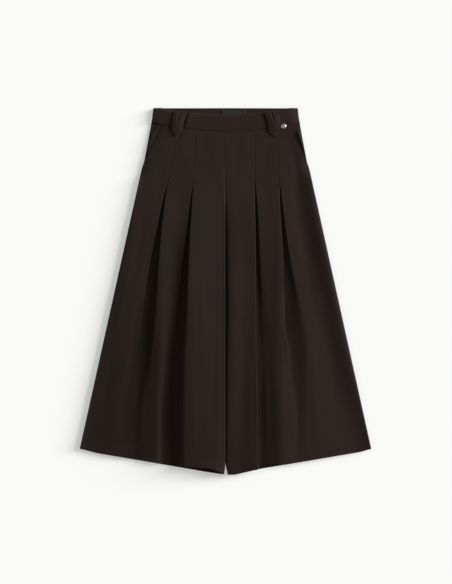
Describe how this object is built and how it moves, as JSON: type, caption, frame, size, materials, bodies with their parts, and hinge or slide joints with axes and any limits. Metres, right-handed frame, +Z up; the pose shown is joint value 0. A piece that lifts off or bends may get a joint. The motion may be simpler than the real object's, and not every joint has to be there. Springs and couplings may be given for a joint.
{
  "type": "palazzo trousers",
  "caption": "Wide cropped palazzo trousers laid flat, with a waistband, pointed belt loops, slanted side pockets and inverted pleats that open into long folds.",
  "frame": {"origin": "on the surface under the middle of the trousers' outline, with the underside at z = 0", "axes": "+X to the right as seen from above, +Y towards the waist, +Z up from the surface"},
  "size_m": [0.7503, 0.9434, 0.0294],
  "materials": {
    "cloth": "matt dark brown twill with a faint sheen",
    "label": "matt charcoal woven tape, blank",
    "stud": "polished, slightly warm"
  },
  "bodies": {
    "root": {"front_leg_left": "cloth", "front_leg_right": "cloth", "back_leg_left": "cloth", "back_leg_right": "cloth", "waistband_front": "cloth", "waistband_back": "cloth", "belt_loop_left": "cloth", "belt_loop_right": "cloth", "pocket_facing_left": "cloth", "pocket_facing_right": "cloth", "waist_label": "label", "stud": "stud"}
  },
  "joints": []
}
